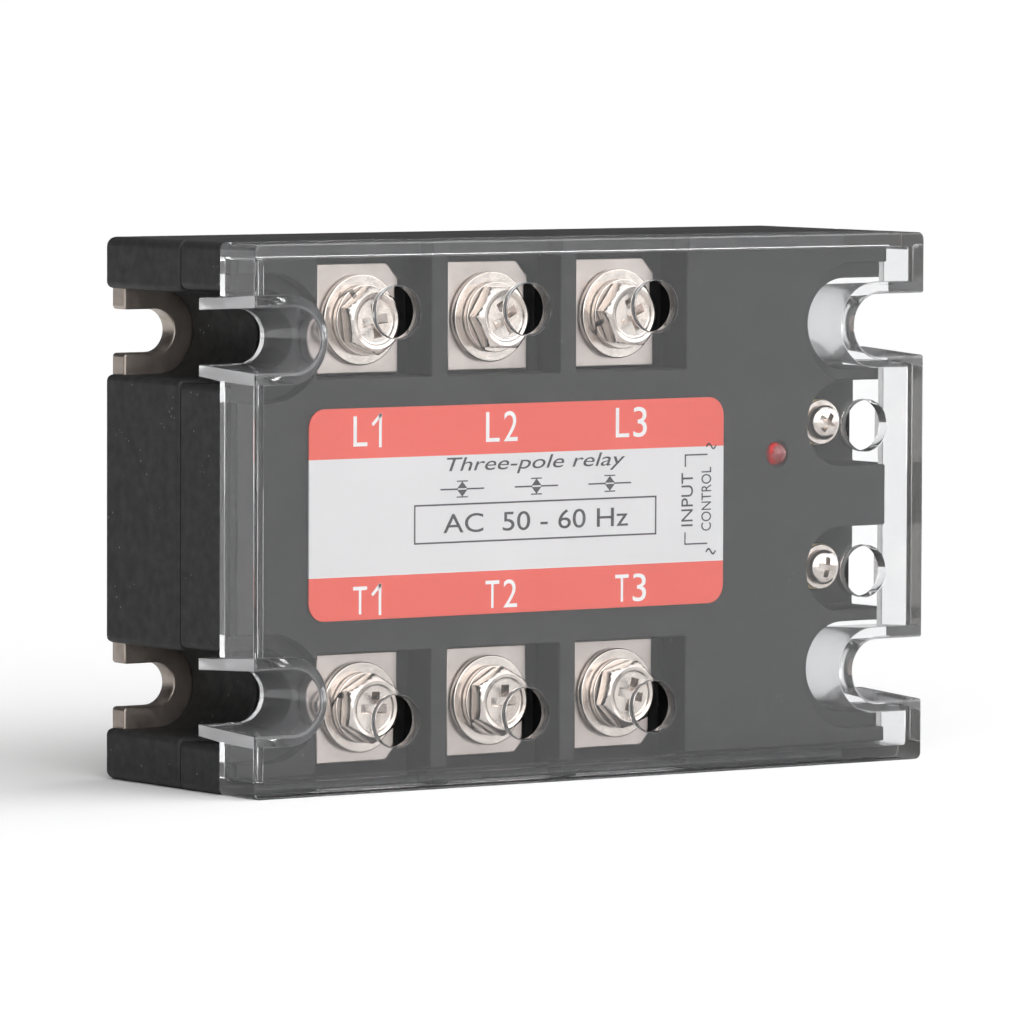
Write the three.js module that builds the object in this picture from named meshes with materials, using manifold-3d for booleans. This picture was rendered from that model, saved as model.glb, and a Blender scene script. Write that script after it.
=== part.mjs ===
// Three-phase solid state relay with a clear lift-off cover.
// Millimetres, +Z up. The relay stands on its long side: X runs along its length, the clear
// cover faces -Y and the metal base plate faces +Y. The origin is the middle of the footprint.
import * as THREE from 'three';
import { mergeVertices } from 'three/addons/utils/BufferGeometryUtils.js';
import Module from 'manifold-3d';

const wasm = await Module();
wasm.setup();

// ---------------------------------------------------------------- driving dimensions
const LENGTH = 109;
const WIDTH = 72;
const DEPTH = 36.5;
const GAP = 0.3; // between fixed neighbours
const CUT = 1; // how far a cutting solid runs past the face it opens

// Depths are measured from the outer face of the cover towards the base plate.
const COVER_PLATE = 1.8;
const COVER_SKIRT = 8;
const COVER_SLOT_WALL = 13.5;
const FACE = 6.3; // front face of the housing
const FLANGE = 8.6; // where the housing widens to its full size
const PARTING = 18; // back of the front shell
const POCKET_FLOOR = 11.85;
const CONTROL_FLOOR = 15.3;
const PLATE_FRONT = 33.5; // front face of the base plate

const COVER_WALL = 1.9;
const SHELL_WALL = 2.3;
const PLATE_INSET = 1.3; // base plate edge to the outside of the housing
const RIM_INSET = 1;
const CORNER = 0.9;

// Mounting slots: two at each end.
const MIDDLE = WIDTH / 2;
const SLOT_OFFSET = 23.5;
const SLOT_HEIGHTS = [MIDDLE - SLOT_OFFSET, MIDDLE + SLOT_OFFSET];
const PLATE_SLOT = { radius: 2.9, left: 9.1, right: 9.1 };
const REAR_SLOT = { radius: 5.7, left: 12, right: 12 };
const FRONT_SLOT = { radius: 6.15, left: 12.25, right: 13.75 };
const COVER_SLOT_FRONT = { radius: 4.25, left: 10.3, right: 11.8 };
const COVER_SLOT_BACK_RADIUS = 3.55;
const COVER_SLOT_OUTSIDE = 1.6; // thickness of the wall around a slot
const SLOT_WALL = 2;

// Power terminals: three columns, two rows.
const COLUMN_START = 22.35; // first column to the left end
const COLUMN_PITCH = 20.8;
const SCREW_OFFSET = 25.5; // screw axis to the middle of the relay
const HOLE_OFFSET = 26.75; // cover hole to the middle of the relay
const HOLE_RADIUS = 3.45;
const POCKET = { halfWidth: 9.1, inner: 18 };
const TERMINAL = { front: 10.35, thick: 1.2, halfWidth: 6.4, inner: 18.4, outer: 32.8, notch: 1.9 };
const LEG = { halfWidth: 3, thick: 1.2, end: 27.6 };
const SCREW = { head: 5.7, seat: 8.2, acrossFlats: 8, shank: 2.5, end: 19.4, cross: 5, arm: 1.25, recess: 1.7 };
const SPRING = { outer: 4.7, inner: 2.8, front: 8.3, back: 9.2, split: 0.6, slant: 0.5 };
const WASHER = { outer: 6, inner: 2.8, front: 9.3, back: 10.25 };
const NUT = { acrossFlats: 8, front: 11.85, back: 15.55, bore: 2.8 };
const CLEAR_HOLE = 2.9;
const HEX_CLEARANCE = 0.35;
// How far each screw's cross recess is turned from upright, in degrees.
const SCREW_TURNS = { l1: -8, l2: -28, l3: -24, t1: 2, t2: 0, t3: 14 };

// Control terminals: two at the right-hand end.
const CONTROL_X = 99.2;
const CONTROL_OFFSET = 9.9;
const CONTROL = {
  recess: 5.75, head: 9.2, seat: 10.6, headRadius: 2.4, shank: 1.4, end: 17.2,
  washer: 3.05, washerBore: 1.7, washerFront: 10.7, washerBack: 11.3,
  plate: 11.4, plateBack: 12.4, plateHalf: 3.1, post: 3.4, cross: 3.2, arm: 0.75, deep: 0.9,
};

const LED = { x: 88.35, z: 42.1, radius: 1.5, hole: 1.8, front: 5.3, flange: 8.6, flangeRadius: 1.9, back: 9.8, lead: 0.5, leadPitch: 1.27 };
const LABEL = { left: 11.8, right: 79, bottom: 22.3, top: 50.1, corner: 2.5, front: 5.95, back: 6.2 };
const BOARD = { left: 4, right: 105, bottom: 21.6, top: 50.4, front: 21, thick: 1.6 };
const MODULE = { halfWidth: 7, halfHeight: 20.5, front: 27.9, back: 32, step: 1.5, window: 3 };
const CERAMIC = { halfWidth: 7.6, halfHeight: 21, front: 32.3, back: 33.2 };
const COUPLER = { halfWidth: 3.2, halfHeight: 4.4, front: 16.6, z: 29, foot: 0.8 };
const CAPACITOR = { halfWidth: 6.5, halfHeight: 2.6, front: 11.5, z: 44.5 };

const ARC_STEPS = 8;
const ROUND_STEPS = 16;
const CORNER_STEPS = 2;
const QUARTER = Math.PI / 2;

const COLUMNS = [0, 1, 2].map((i) => COLUMN_START + i * COLUMN_PITCH);
const ROWS = [{ letter: 'l', side: 1 }, { letter: 't', side: -1 }];

// ---------------------------------------------------------------- finishes
const finish = (color, roughness, metalness) => new THREE.MeshStandardMaterial({ color, roughness, metalness });
const BLACK_PLASTIC = finish(0x232323, 0.55, 0);
const CLEAR_PLASTIC = new THREE.MeshStandardMaterial({
  color: 0xf4f6f6, roughness: 0.08, metalness: 0, transparent: true, opacity: 0.3,
});
const LABEL_FILM = finish(0xf0786a, 0.5, 0);
const BASE_METAL = finish(0xa89c92, 0.4, 1);
const NICKEL = finish(0xb9aca6, 0.3, 1);
const BRASS = finish(0xc9a56a, 0.35, 1);
const RED_LENS = finish(0xc02626, 0.2, 0);
const BOARD_GREEN = finish(0x2f6b46, 0.6, 0);
const CERAMIC_WHITE = finish(0xe9e6df, 0.7, 0);
const MOULDED_CHIP = finish(0x2c2c2e, 0.6, 0);
const CAPACITOR_YELLOW = finish(0xd9b23c, 0.5, 0);

// ---------------------------------------------------------------- building blocks
/** X of a point given by its distance from the left-hand end. */
const fromLeft = (distance) => distance - LENGTH / 2;

/** Y of a point given by its depth behind the cover face. */
const at = (depth) => depth - DEPTH / 2;

/** Turns a closed geometry into a solid that can be joined and cut. */
function solid(geometry) {
  const bare = geometry.clone();
  bare.deleteAttribute('normal');
  bare.deleteAttribute('uv');
  const merged = mergeVertices(bare);
  const vertProperties = new Float32Array(merged.attributes.position.array);
  const triVerts = new Uint32Array(merged.index.array);
  return new wasm.Manifold(new wasm.Mesh({ numProp: 3, vertProperties, triVerts }));
}

/** Turns a solid back into a geometry. */
function geometryOf(body) {
  const { vertProperties, triVerts } = body.getMesh();
  const geometry = new THREE.BufferGeometry();
  geometry.setAttribute('position', new THREE.BufferAttribute(vertProperties, 3));
  geometry.setIndex(new THREE.BufferAttribute(triVerts, 1));
  geometry.computeVertexNormals();
  return geometry;
}

/** An X-Z outline made solid between two depths. */
function prism(outline, front, back) {
  const options = { depth: back - front, bevelEnabled: false, curveSegments: ARC_STEPS };
  const geometry = new THREE.ExtrudeGeometry(outline, options);
  geometry.rotateX(Math.PI / 2);
  geometry.translate(0, at(back), 0);
  return solid(geometry);
}

/** A block between two X, two depths and two Z. */
function block([x0, x1], [front, back], [z0, z1]) {
  const geometry = new THREE.BoxGeometry(x1 - x0, back - front, z1 - z0);
  geometry.translate((x0 + x1) / 2, at((front + back) / 2), (z0 + z1) / 2);
  return solid(geometry);
}

/** A round bar along Y; with six steps it is a hexagon with flats above and below. */
function rod(x, z, radius, front, back, steps = ROUND_STEPS) {
  const geometry = new THREE.CylinderGeometry(radius, radius, back - front, steps);
  if (steps === 6) geometry.rotateY(Math.PI / 6);
  geometry.translate(x, at((front + back) / 2), z);
  return solid(geometry);
}

/** A shape turned about the Y axis from [radius, depth] points, closed on the axis. */
function turned(x, z, profile) {
  const points = profile.map(([radius, depth]) => new THREE.Vector2(radius, at(depth)));
  const geometry = new THREE.LatheGeometry(points, ROUND_STEPS);
  geometry.translate(x, 0, z);
  return solid(geometry);
}

const cut = (body, tools) => tools.reduce((left, tool) => left.subtract(tool), body);
const join = (bodies) => bodies.reduce((whole, body) => whole.add(body));

/** Rounds one outline corner about its centre, starting at a quarter turn counted from +X. */
function roundCorner(shape, x, z, radius, quarter) {
  for (let step = 0; step <= CORNER_STEPS; step += 1) {
    const angle = (quarter + step / CORNER_STEPS) * QUARTER;
    shape.lineTo(x + radius * Math.cos(angle), z + radius * Math.sin(angle));
  }
}

/** The plain rounded rectangle with the four mounting slots cut into its ends. */
function slottedOutline({ left, right, bottom, top, corner }, slot) {
  const rightCentre = fromLeft(LENGTH - slot.right) + slot.radius;
  const leftCentre = fromLeft(slot.left) - slot.radius;
  const shape = new THREE.Shape();
  shape.moveTo(left + corner, bottom);
  roundCorner(shape, right - corner, bottom + corner, corner, 3);
  for (const z of SLOT_HEIGHTS) {
    shape.lineTo(right, z - slot.radius);
    shape.absarc(rightCentre, z, slot.radius, -QUARTER, QUARTER, true);
    shape.lineTo(right, z + slot.radius);
  }
  roundCorner(shape, right - corner, top - corner, corner, 0);
  roundCorner(shape, left + corner, top - corner, corner, 1);
  for (const z of [...SLOT_HEIGHTS].reverse()) {
    shape.lineTo(left, z + slot.radius);
    shape.absarc(leftCentre, z, slot.radius, QUARTER, -QUARTER, true);
    shape.lineTo(left, z - slot.radius);
  }
  roundCorner(shape, left + corner, bottom + corner, corner, 2);
  return shape;
}

/** The full outline of the relay, drawn in by an inset. */
function inset(amount, corner = CORNER) {
  return {
    left: -LENGTH / 2 + amount, right: LENGTH / 2 - amount,
    bottom: amount, top: WIDTH - amount, corner,
  };
}

/** A rectangle with rounded corners in X and Z. */
function roundedRectangle({ left, right, bottom, top, corner }) {
  const shape = new THREE.Shape();
  shape.moveTo(left + corner, bottom);
  roundCorner(shape, right - corner, bottom + corner, corner, 3);
  roundCorner(shape, right - corner, top - corner, corner, 0);
  roundCorner(shape, left + corner, top - corner, corner, 1);
  roundCorner(shape, left + corner, bottom + corner, corner, 2);
  return shape;
}

/** One slot as a solid that narrows towards the back; end is -1 for left and 1 for right. */
function slotBar(end, z, reach, frontRadius, backRadius, front, back, overrun = 0) {
  const mouth = end * (LENGTH / 2 + overrun);
  const centre = end * (LENGTH / 2 - reach + frontRadius);
  const shape = new THREE.Shape();
  shape.moveTo(mouth, z - frontRadius);
  shape.lineTo(centre, z - frontRadius);
  shape.absarc(centre, z, frontRadius, -QUARTER, QUARTER, end > 0);
  shape.lineTo(mouth, z + frontRadius);
  const options = { depth: back - front, bevelEnabled: false, curveSegments: ARC_STEPS };
  const geometry = new THREE.ExtrudeGeometry(shape, options);
  const place = geometry.attributes.position;
  for (let i = 0; i < place.count; i += 1) {
    // The extrusion's far end becomes the front once it is turned.
    const shrink = place.getZ(i) > 0 ? 1 : backRadius / frontRadius;
    place.setY(i, z + (place.getY(i) - z) * shrink);
    const x = place.getX(i);
    if (x * end < centre * end) place.setX(i, centre + (x - centre) * shrink);
  }
  geometry.rotateX(Math.PI / 2);
  geometry.translate(0, at(back), 0);
  return solid(geometry);
}

/** Calls make(end, z, reach) for each of the four slots. */
function eachSlot(slot, make) {
  return [-1, 1].flatMap((end) => SLOT_HEIGHTS.map((z) => make(end, z, end < 0 ? slot.left : slot.right)));
}

const root = new THREE.Group();

/** Adds one finished piece to the object. */
function piece(name, body, material) {
  const mesh = new THREE.Mesh(geometryOf(body), material);
  mesh.name = name;
  root.add(mesh);
}

// ---------------------------------------------------------------- base plate and housing
function basePlate() {
  return prism(slottedOutline(inset(PLATE_INSET, CORNER), PLATE_SLOT), PLATE_FRONT, DEPTH);
}

function rearHousing() {
  const ledge = PLATE_FRONT - GAP;
  const outside = prism(slottedOutline(inset(0), REAR_SLOT), PARTING + GAP, DEPTH);
  const innerSlot = {
    radius: REAR_SLOT.radius + SLOT_WALL,
    left: REAR_SLOT.left + SLOT_WALL, right: REAR_SLOT.right + SLOT_WALL,
  };
  const cavity = prism(slottedOutline(inset(SHELL_WALL), innerSlot), PARTING - CUT, ledge + CUT);
  const recess = prism(roundedRectangle(inset(RIM_INSET)), ledge, DEPTH + CUT);
  return cut(outside, [cavity, recess]);
}

/** Everything that one power terminal takes out of the front shell. */
function terminalCuts(x, side) {
  const row = (distance) => MIDDLE + side * distance;
  const span = (a, b) => [Math.min(row(a), row(b)), Math.max(row(a), row(b))];
  const z = row(SCREW_OFFSET);
  const leg = LEG.halfWidth + GAP;
  const legSpan = span(TERMINAL.inner - GAP, TERMINAL.inner + LEG.thick + GAP);
  return [
    block([x - POCKET.halfWidth, x + POCKET.halfWidth], [FACE - CUT, POCKET_FLOOR], span(POCKET.inner, MIDDLE + CUT)),
    rod(x, z, hexRadius(NUT.acrossFlats) + HEX_CLEARANCE, POCKET_FLOOR - CUT, NUT.back + GAP, 6),
    rod(x, z, CLEAR_HOLE, NUT.back, PARTING + CUT),
    block([x - leg, x + leg], [POCKET_FLOOR - CUT, PARTING + CUT], legSpan),
  ];
}

const hexRadius = (acrossFlats) => acrossFlats / 2 / Math.cos(Math.PI / 6);

/** The recess around one control screw, open through the end wall, with the post left standing. */
function controlRecess(side) {
  const x = fromLeft(CONTROL_X);
  const z = MIDDLE + side * CONTROL_OFFSET;
  const round = rod(x, z, CONTROL.recess, FACE - CUT, CONTROL_FLOOR);
  const channelEnd = LENGTH / 2 + CUT;
  const channel = block([x, channelEnd], [FACE - CUT, CONTROL_FLOOR], [z - CONTROL.recess, z + CONTROL.recess]);
  const post = rod(x, z, CONTROL.post, CONTROL.plateBack + GAP, CONTROL_FLOOR + CUT);
  return join([round, channel]).subtract(post);
}

function controlHoles(side) {
  const x = fromLeft(CONTROL_X);
  const z = MIDDLE + side * CONTROL_OFFSET;
  const legX = x - CONTROL.plateHalf;
  return [
    rod(x, z, CONTROL.washerBore + GAP / 2, FACE, PARTING + CUT),
    block([legX - GAP, legX + 1 + GAP], [CONTROL.plateBack, PARTING + CUT], [z - 1 - GAP, z + 1 + GAP]),
  ];
}

function frontHousing() {
  const sleeve = COVER_WALL + GAP;
  const flange = prism(slottedOutline(inset(0), FRONT_SLOT), FLANGE, PARTING);
  const face = prism(slottedOutline(inset(sleeve), FRONT_SLOT), FACE, FLANGE + CUT);
  const cavityEnd = fromLeft(CONTROL_X - CONTROL.recess - SHELL_WALL);
  const cavity = block(
    [-LENGTH / 2 + SHELL_WALL + GAP, cavityEnd],
    [FACE + SHELL_WALL, PARTING + CUT],
    [BOARD.bottom - GAP, BOARD.top + GAP],
  );
  const ledHole = rod(fromLeft(LED.x), LED.z, LED.hole, FACE - CUT, FACE + SHELL_WALL + CUT);
  const terminals = ROWS.flatMap(({ side }) => COLUMNS.flatMap((x) => terminalCuts(fromLeft(x), side)));
  const controls = [1, -1].flatMap((side) => [controlRecess(side), ...controlHoles(side)]);
  return cut(join([flange, face]), [cavity, ledHole, ...terminals, ...controls]);
}

// ---------------------------------------------------------------- clear cover
function clearCover() {
  const { radius } = COVER_SLOT_FRONT;
  const outsideRadius = radius + COVER_SLOT_OUTSIDE;
  const backOutside = COVER_SLOT_BACK_RADIUS + COVER_SLOT_OUTSIDE;
  const shell = block([-LENGTH / 2, LENGTH / 2], [0, COVER_SKIRT], [0, WIDTH])
    .subtract(prism(roundedRectangle(inset(COVER_WALL)), COVER_PLATE, COVER_SKIRT + CUT));
  const walls = eachSlot(COVER_SLOT_FRONT, (end, z, reach) => (
    slotBar(end, z, reach + COVER_SLOT_OUTSIDE, outsideRadius, backOutside, 0, COVER_SLOT_WALL)
  ));
  const slots = eachSlot(COVER_SLOT_FRONT, (end, z, reach) => (
    slotBar(end, z, reach, radius + 0.05, COVER_SLOT_BACK_RADIUS, -CUT, COVER_SLOT_WALL + CUT, CUT)
  ));
  const screwHoles = ROWS.flatMap(({ side }) => COLUMNS.map((x) => [fromLeft(x), MIDDLE + side * HOLE_OFFSET]));
  const controlHole = [1, -1].map((side) => [fromLeft(CONTROL_X), MIDDLE + side * CONTROL_OFFSET]);
  const holes = [...screwHoles, ...controlHole].map(([x, z]) => rod(x, z, HOLE_RADIUS, -CUT, COVER_PLATE + CUT));
  return cut(join([shell, ...walls]), [...slots, ...holes]);
}

// ---------------------------------------------------------------- power terminals
/** Nickel plate with one clipped corner and a leg that runs back to its thyristor module. */
function terminalPlate(x, side) {
  const { front, thick, halfWidth, inner, outer, notch } = TERMINAL;
  const row = (distance) => MIDDLE + side * distance;
  const shape = new THREE.Shape([
    new THREE.Vector2(x - halfWidth, row(inner)),
    new THREE.Vector2(x + halfWidth, row(inner)),
    new THREE.Vector2(x + halfWidth, row(outer - notch)),
    new THREE.Vector2(x + halfWidth - notch, row(outer)),
    new THREE.Vector2(x - halfWidth, row(outer)),
  ]);
  const legSpan = [row(inner), row(inner + LEG.thick)].sort((a, b) => a - b);
  const leg = block([x - LEG.halfWidth, x + LEG.halfWidth], [front + thick / 2, LEG.end], legSpan);
  const hole = rod(x, row(SCREW_OFFSET), CLEAR_HOLE, front - CUT, front + thick + CUT);
  return join([prism(shape, front, front + thick), leg]).subtract(hole);
}

function terminalNut(x, z) {
  const { acrossFlats, front, back, bore } = NUT;
  return rod(x, z, hexRadius(acrossFlats), front, back, 6).subtract(rod(x, z, bore, front - CUT, back + CUT));
}

function flatWasher(x, z) {
  const { outer, inner, front, back } = WASHER;
  return rod(x, z, outer, front, back).subtract(rod(x, z, inner, front - CUT, back + CUT));
}

/** Spring washer: a ring with one slanted split. */
function springWasher(x, z) {
  const { outer, inner, front, back, split, slant } = SPRING;
  const ring = rod(x, z, outer, front, back).subtract(rod(x, z, inner, front - CUT, back + CUT));
  const gap = new THREE.BoxGeometry(split, back - front + 2 * CUT, outer + CUT);
  gap.rotateZ(slant);
  gap.translate(x, at((front + back) / 2), z + (outer + CUT) / 2);
  return ring.subtract(solid(gap));
}

/** Two crossed wedges that cut a cross recess into a screw head. */
function crossRecess(x, z, head, length, arm, depth) {
  return [0, 1].map((quarter) => {
    const wedge = new THREE.CylinderGeometry(length / 4, length / 2, depth + CUT, 4, 1);
    wedge.rotateY(Math.PI / 4);
    wedge.scale(Math.SQRT2, 1, (Math.SQRT2 * arm) / length);
    if (quarter) wedge.rotateY(Math.PI / 2);
    wedge.translate(x, at(head - CUT + (depth + CUT) / 2), z);
    return solid(wedge);
  });
}

/** Turns a solid about the screw axis through x and z. */
function spun(body, x, z, degrees) {
  const turn = new THREE.Matrix4().makeTranslation(x, 0, z)
    .multiply(new THREE.Matrix4().makeRotationY(THREE.MathUtils.degToRad(degrees)))
    .multiply(new THREE.Matrix4().makeTranslation(-x, 0, -z));
  return solid(geometryOf(body).applyMatrix4(turn));
}

/** Hexagon head screw with a chamfered crown, a cross recess and a plain shank. */
function powerScrew(x, z, degrees) {
  const { head, seat, acrossFlats, shank, end, cross, arm, recess } = SCREW;
  const hexagon = rod(x, z, hexRadius(acrossFlats), head, seat, 6);
  const crown = turned(x, z, [
    [0, head], [acrossFlats / 2, head], [acrossFlats / 2 + 1.3, head + 0.75],
    [acrossFlats / 2 + 1.3, seat + CUT], [0, seat + CUT],
  ]);
  const bar = turned(x, z, [[0, seat - 0.5], [shank, seat - 0.5], [shank, end - 0.6], [shank - 0.6, end], [0, end]]);
  const body = join([hexagon.intersect(crown), bar]);
  return spun(cut(body, crossRecess(x, z, head, cross, arm, recess)), x, z, degrees);
}

// ---------------------------------------------------------------- control terminals
function controlTerminal(x, z) {
  const { plate, plateBack, plateHalf, washerBore } = CONTROL;
  const pad = block([x - plateHalf, x + plateHalf], [plate, plateBack], [z - plateHalf, z + plateHalf]);
  const leg = block([x - plateHalf, x - plateHalf + 1], [plate, BOARD.front - GAP], [z - 1, z + 1]);
  return join([pad, leg]).subtract(rod(x, z, washerBore, plate - CUT, plateBack + CUT));
}

function controlWasher(x, z) {
  const { washer, washerBore, washerFront, washerBack } = CONTROL;
  return rod(x, z, washer, washerFront, washerBack)
    .subtract(rod(x, z, washerBore, washerFront - CUT, washerBack + CUT));
}

function controlScrew(x, z, degrees) {
  const { head, seat, headRadius, shank, end, cross, arm, deep } = CONTROL;
  const body = turned(x, z, [
    [0, head], [headRadius - 0.9, head + 0.05], [headRadius - 0.35, head + 0.35], [headRadius, head + 0.85],
    [headRadius, seat], [shank, seat], [shank, end - 0.5], [shank - 0.5, end], [0, end],
  ]);
  return spun(cut(body, crossRecess(x, z, head, cross, arm, deep)), x, z, degrees);
}

// ---------------------------------------------------------------- indicator, label and inside
/** Round red lamp: a domed lens with a collar, and two leads that reach the board. */
function statusLed() {
  const { radius, front, flange, flangeRadius, back, lead, leadPitch } = LED;
  const x = fromLeft(LED.x);
  const dome = [0.1, 0.3, 0.5, 0.7, 0.85].map((share) => {
    const angle = (share * Math.PI) / 2;
    return [radius * Math.sin(angle), front + radius * (1 - Math.cos(angle))];
  });
  const lens = turned(x, LED.z, [
    [0, front], ...dome, [radius, front + radius], [radius, flange + GAP],
    [flangeRadius, flange + GAP], [flangeRadius, back], [0, back],
  ]);
  const leads = [-leadPitch, leadPitch].map((offset) => block(
    [x + offset - lead / 2, x + offset + lead / 2], [back - lead, BOARD.front - GAP], [LED.z - lead / 2, LED.z + lead / 2],
  ));
  return join([lens, ...leads]);
}

function frontLabel() {
  const { left, right, bottom, top, corner, front, back } = LABEL;
  const sheet = { left: fromLeft(left), right: fromLeft(right), bottom, top, corner };
  return prism(roundedRectangle(sheet), front, back);
}

function circuitBoard() {
  const { left, right, bottom, top, front, thick } = BOARD;
  return block([fromLeft(left), fromLeft(right)], [front, front + thick], [bottom, top]);
}

/** Moulded module with a stepped middle, one for each phase. */
function thyristorModule(x) {
  const { halfWidth, halfHeight, front, back, step, window } = MODULE;
  const body = block([x - halfWidth, x + halfWidth], [front + step, back], [MIDDLE - halfHeight, MIDDLE + halfHeight]);
  const ends = [-1, 1].map((side) => {
    const edge = [MIDDLE + side * (halfHeight - 2 * window), MIDDLE + side * halfHeight].sort((a, b) => a - b);
    return block([x - halfWidth + step, x + halfWidth - step], [front, back], edge);
  });
  return join([body, ...ends]);
}

function ceramicPad(x) {
  const { halfWidth, halfHeight, front, back } = CERAMIC;
  return block([x - halfWidth, x + halfWidth], [front, back], [MIDDLE - halfHeight, MIDDLE + halfHeight]);
}

/** Light coupler: a moulded body with a row of feet on each long side. */
function lightCoupler(x) {
  const { halfWidth, halfHeight, front, z, foot } = COUPLER;
  const top = BOARD.front - GAP;
  const body = block([x - halfWidth, x + halfWidth], [front, top - foot], [z - halfHeight, z + halfHeight]);
  const feet = [-1, 1].flatMap((side) => [-1, 0, 1].map((row) => {
    const reach = [x + side * (halfWidth - foot), x + side * (halfWidth + foot)].sort((a, b) => a - b);
    const centre = z + row * (halfHeight - 2 * foot);
    return block(reach, [front + 2 * foot, top], [centre - foot / 2, centre + foot / 2]);
  }));
  return join([body, ...feet]);
}

function snubberCapacitor(x) {
  const { halfWidth, halfHeight, front, z } = CAPACITOR;
  return block([x - halfWidth, x + halfWidth], [front, BOARD.front - GAP], [z - halfHeight, z + halfHeight]);
}

// ---------------------------------------------------------------- assembly
piece('base_plate', basePlate(), BASE_METAL);
piece('rear_housing', rearHousing(), BLACK_PLASTIC);
piece('front_housing', frontHousing(), BLACK_PLASTIC);
piece('clear_cover', clearCover(), CLEAR_PLASTIC);
piece('front_label', frontLabel(), LABEL_FILM);

for (const { letter, side } of ROWS) {
  COLUMNS.forEach((column, i) => {
    const x = fromLeft(column);
    const z = MIDDLE + side * SCREW_OFFSET;
    const tag = `${letter}${i + 1}`;
    piece(`terminal_plate_${tag}`, terminalPlate(x, side), NICKEL);
    piece(`terminal_nut_${tag}`, terminalNut(x, z), BRASS);
    piece(`flat_washer_${tag}`, flatWasher(x, z), NICKEL);
    piece(`spring_washer_${tag}`, springWasher(x, z), NICKEL);
    piece(`power_screw_${tag}`, powerScrew(x, z, SCREW_TURNS[tag]), NICKEL);
  });
}

[1, -1].forEach((side, i) => {
  const x = fromLeft(CONTROL_X);
  const z = MIDDLE + side * CONTROL_OFFSET;
  piece(`control_terminal_${i + 1}`, controlTerminal(x, z), BRASS);
  piece(`control_washer_${i + 1}`, controlWasher(x, z), NICKEL);
  piece(`control_screw_${i + 1}`, controlScrew(x, z, 35 - 15 * i), NICKEL);
});

piece('status_led', statusLed(), RED_LENS);
piece('circuit_board', circuitBoard(), BOARD_GREEN);
COLUMNS.forEach((column, i) => {
  const x = fromLeft(column);
  piece(`thyristor_module_${i + 1}`, thyristorModule(x), MOULDED_CHIP);
  piece(`ceramic_pad_${i + 1}`, ceramicPad(x), CERAMIC_WHITE);
  piece(`light_coupler_${i + 1}`, lightCoupler(x), MOULDED_CHIP);
  piece(`snubber_capacitor_${i + 1}`, snubberCapacitor(x), CAPACITOR_YELLOW);
});

export default root;
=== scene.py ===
# %% [markdown]
# A three-phase solid state relay: a black two-part shell on a thick metal base plate, six
# screw terminals in pockets along its long sides, two small control terminals and a lamp at one
# end, and a clear lift-off cover over everything. The relay stands on one long side. The packed
# CAD model gives every position, and this script builds the surfaces that are seen around it.

# %% Load the fixed frame
import math

import bmesh
import bpy
from mathutils import Euler, Matrix, Vector


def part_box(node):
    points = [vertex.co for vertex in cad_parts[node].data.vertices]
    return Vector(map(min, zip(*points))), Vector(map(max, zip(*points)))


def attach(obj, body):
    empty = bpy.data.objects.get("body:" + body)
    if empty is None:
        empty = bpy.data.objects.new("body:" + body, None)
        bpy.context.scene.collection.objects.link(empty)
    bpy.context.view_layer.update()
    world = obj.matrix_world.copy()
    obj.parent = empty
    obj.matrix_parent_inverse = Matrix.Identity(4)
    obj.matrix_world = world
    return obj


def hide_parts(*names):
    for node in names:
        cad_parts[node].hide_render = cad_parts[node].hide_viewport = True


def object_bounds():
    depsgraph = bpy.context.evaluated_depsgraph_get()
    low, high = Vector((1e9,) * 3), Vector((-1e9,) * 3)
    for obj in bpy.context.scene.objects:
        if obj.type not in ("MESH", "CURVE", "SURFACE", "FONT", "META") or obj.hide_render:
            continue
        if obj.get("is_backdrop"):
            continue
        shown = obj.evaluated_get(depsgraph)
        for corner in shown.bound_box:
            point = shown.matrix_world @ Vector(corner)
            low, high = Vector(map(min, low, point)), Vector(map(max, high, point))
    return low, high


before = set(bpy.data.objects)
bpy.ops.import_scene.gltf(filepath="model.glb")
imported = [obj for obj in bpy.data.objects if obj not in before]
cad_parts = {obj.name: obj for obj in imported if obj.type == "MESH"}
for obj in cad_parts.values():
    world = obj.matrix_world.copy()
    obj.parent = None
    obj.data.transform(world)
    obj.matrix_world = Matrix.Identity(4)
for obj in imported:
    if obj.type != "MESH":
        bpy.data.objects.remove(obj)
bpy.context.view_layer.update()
MM = 0.001

# %% [markdown]
# The outer box of the relay comes from the cover, the shells and the base plate. Depth is
# counted from the outer face of the cover towards the base plate, because every layer of the
# relay sits at its own depth.

# %% Read the main planes
cover_low, cover_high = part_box("clear_cover")
rear_low, rear_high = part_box("rear_housing")
front_low, front_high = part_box("front_housing")
plate_low, plate_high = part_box("base_plate")
label_low, label_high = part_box("front_label")
LEFT, RIGHT = rear_low.x, rear_high.x
BOTTOM, TOP = rear_low.z, rear_high.z
FACE = front_low.y
PARTING = front_high.y
BACK = rear_high.y
MIDDLE = (BOTTOM + TOP) / 2
SLOT_HEIGHTS = [MIDDLE - 23.5 * MM, MIDDLE + 23.5 * MM]
print(f"length {(RIGHT - LEFT) / MM:.1f} mm, width {(TOP - BOTTOM) / MM:.1f} mm")


def behind(depth):
    """Y of a plane given in millimetres behind the outer face of the cover."""
    return cover_low.y + depth * MM


# %% [markdown]
# Four U-shaped slots cut through the ends take the mounting screws. Every layer has the same
# outline idea, a rectangle with four slots, only with its own slot size. One function draws it.
# Growing or shrinking it by an inset moves every edge by the same amount, so several insets
# stacked in depth give rounded rims without any bevel tool.

# %% Draw a slotted outline
def arc(centre_x, centre_z, radius, start, end, steps=8):
    """Points on an arc, angles in quarter turns."""
    turn = math.pi / 2
    angles = [(start + (end - start) * step / steps) * turn for step in range(steps + 1)]
    return [(centre_x + radius * math.cos(a), centre_z + radius * math.sin(a)) for a in angles]


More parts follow.
